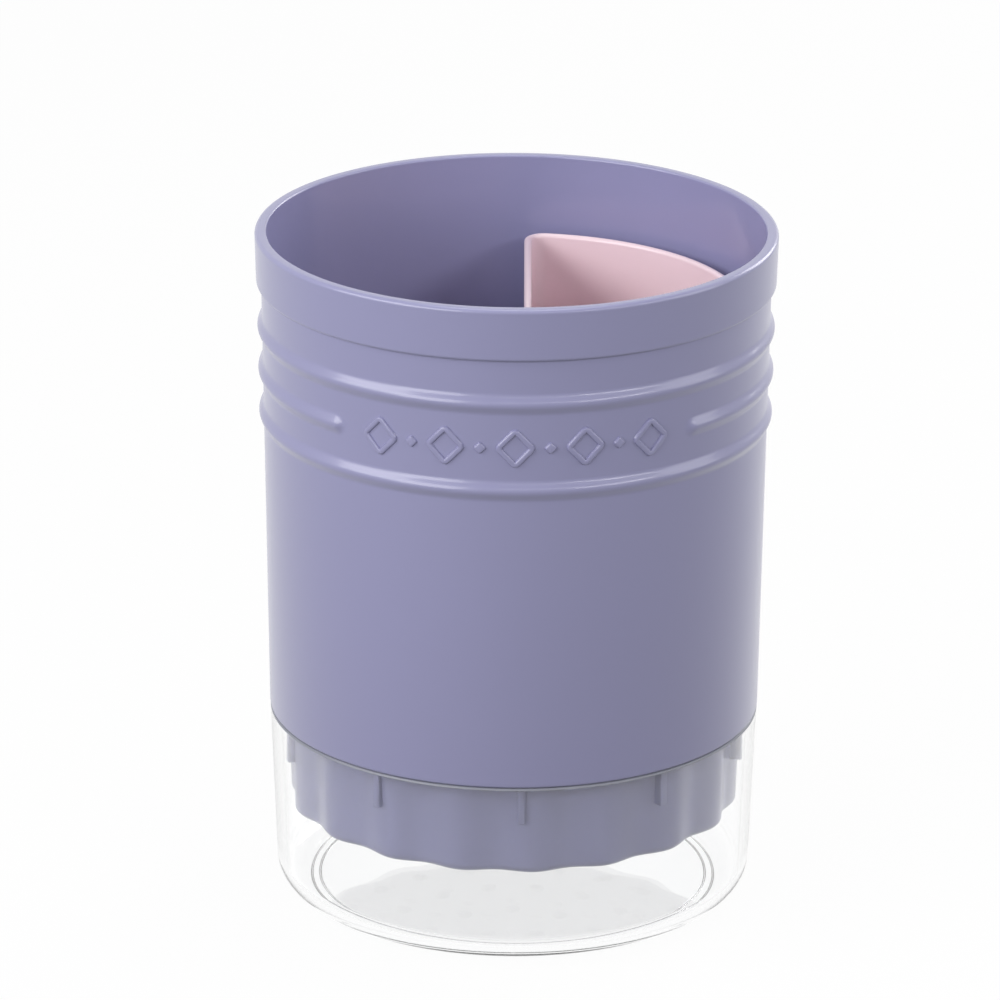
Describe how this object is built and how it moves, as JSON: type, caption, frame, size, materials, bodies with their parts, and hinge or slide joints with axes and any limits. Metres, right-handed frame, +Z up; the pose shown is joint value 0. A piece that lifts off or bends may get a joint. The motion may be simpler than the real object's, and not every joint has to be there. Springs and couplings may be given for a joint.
{
  "type": "draining chopstick holder",
  "caption": "Tall open round holder for chopsticks and cutlery, standing in a clear drip cup, with a half-round divider cup inside.",
  "frame": {"origin": "centre of the foot ring's underside, on the surface that the holder stands on", "axes": "+Z up along the barrel, -Y to the front with the row of lozenges, +X towards the divider cup"},
  "size_m": [0.124, 0.124, 0.1655],
  "materials": {
    "lavender_plastic": "fine satin moulded",
    "pink_plastic": "fine satin moulded",
    "clear_plastic": "clear polished"
  },
  "bodies": {
    "cup": {"drip_cup": "clear_plastic"},
    "barrel": {"holder_barrel": "lavender_plastic"},
    "divider": {"divider_cup": "pink_plastic"}
  },
  "joints": [
    {"name": "barrel_lift", "type": "slide", "parent": "cup", "child": "barrel", "axis": [0, 0, 1], "range_m": [0, 0.03]},
    {"name": "divider_lift", "type": "slide", "parent": "barrel", "child": "divider", "axis": [0, 0, 1], "range_m": [0, 0.145]}
  ]
}
